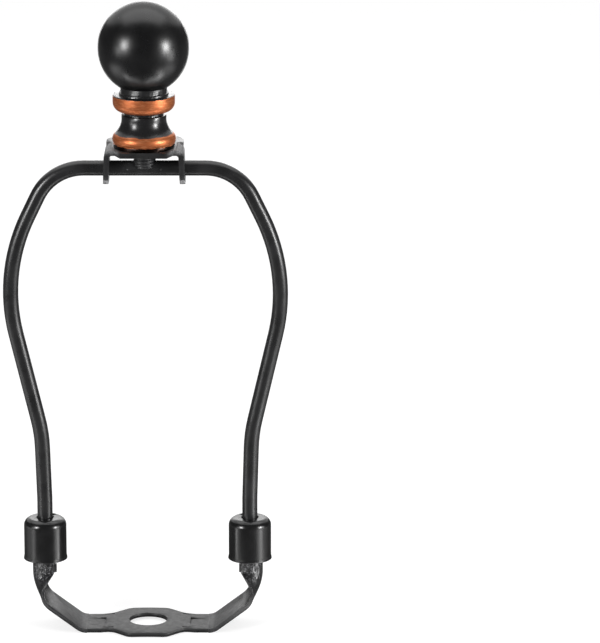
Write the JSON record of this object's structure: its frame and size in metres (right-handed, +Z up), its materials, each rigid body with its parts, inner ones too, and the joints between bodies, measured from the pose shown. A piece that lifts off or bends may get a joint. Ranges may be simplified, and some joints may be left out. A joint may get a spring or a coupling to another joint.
{
  "type": "lamp harp",
  "caption": "Black wire lamp harp on a sheet-metal saddle, with locking sleeves, a swivelling shade bracket and a ball finial with copper bands.",
  "frame": {"origin": "on the floor, under the middle of the saddle's nipple hole", "axes": "+X from the left post to the right post, +Y from front to back, +Z up along the lamp's axis"},
  "size_m": [0.0798, 0.0255, 0.1807],
  "materials": {
    "saddle_paint": "semi-gloss black",
    "wire_paint": "gloss black",
    "sleeve_paint": "gloss black",
    "bracket_paint": "semi-gloss black",
    "finial_paint": "gloss black with rubbed copper bands",
    "ball_paint": "satin black"
  },
  "bodies": {
    "saddle": {"base_saddle": "saddle_paint"},
    "harp": {"harp_wire": "wire_paint"},
    "left_sleeve": {"left_sleeve": "sleeve_paint"},
    "right_sleeve": {"right_sleeve": "sleeve_paint"},
    "bracket": {"top_bracket": "bracket_paint", "threaded_stud": "bracket_paint"},
    "finial": {"finial_base": "finial_paint", "finial_ball": "ball_paint"}
  },
  "joints": [
    {"name": "bow_lift", "type": "slide", "parent": "saddle", "child": "harp", "axis": [0, 0, 1], "range_m": [0, 0.03]},
    {"name": "left_sleeve_lift", "type": "slide", "parent": "harp", "child": "left_sleeve", "axis": [0, 0, 1], "range_m": [0, 0.012]},
    {"name": "right_sleeve_lift", "type": "slide", "parent": "harp", "child": "right_sleeve", "axis": [0, 0, 1], "range_m": [0, 0.012]},
    {"name": "shade_swivel", "type": "hinge", "parent": "harp", "child": "bracket", "pos_m": [0, 0, 0.1337], "axis": [1, 0, 0], "range_deg": [-90, 90]},
    {"name": "finial_turn", "type": "hinge", "parent": "bracket", "child": "finial", "pos_m": [0, 0, 0.1398], "axis": [0, 0, 1], "range_deg": [0, 3960]}
  ]
}
